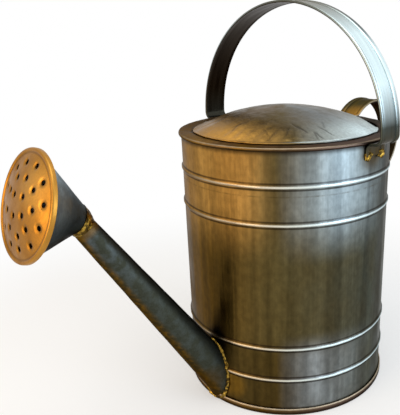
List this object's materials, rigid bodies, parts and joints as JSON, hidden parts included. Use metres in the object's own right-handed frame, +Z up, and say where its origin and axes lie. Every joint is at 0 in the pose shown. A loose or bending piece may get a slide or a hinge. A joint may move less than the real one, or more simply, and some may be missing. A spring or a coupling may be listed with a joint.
{
  "type": "watering can",
  "caption": "Round sheet-metal watering can with a domed half hood, strap carrying handle, back handle, tapered spout and perforated brass rose.",
  "frame": {"origin": "on the ground, in the middle of the can's length from rose to back handle; the upright axis of the body is 50.9 mm towards the back handle", "axes": "+Z up, -X towards the spout and the rose, +X towards the back handle; the carrying handle spans Y"},
  "size_m": [0.4438, 0.234, 0.3695],
  "materials": {
    "zinc_body": "tarnished zinc-coated sheet, warm brown-grey patina, vertical streaks",
    "zinc_trim": "tarnished zinc-coated sheet, rolled edges rubbed bright",
    "zinc_strap": "dark zinc-coated strap, hemmed edges rubbed bright",
    "zinc_spout": "dark blotchy grey-green patina on zinc-coated sheet",
    "rose_brass": "aged satin brass sheet, darker in the creases",
    "braze_brass": "lumpy hand-run brass braze"
  },
  "bodies": {
    "root": {"body_wall": "zinc_body", "base_pan": "zinc_trim", "top_plate": "zinc_trim", "hood": "zinc_body", "main_handle": "zinc_strap", "back_handle": "zinc_strap", "spout": "zinc_spout", "spout_braze": "braze_brass", "neck_collar": "braze_brass", "rose_cone": "zinc_spout", "rose_face": "rose_brass", "handle_braze_left_front": "braze_brass", "handle_braze_left_rear": "braze_brass", "handle_braze_right_front": "braze_brass", "handle_braze_right_rear": "braze_brass", "back_handle_braze_left": "braze_brass", "back_handle_braze_right": "braze_brass"}
  },
  "joints": []
}
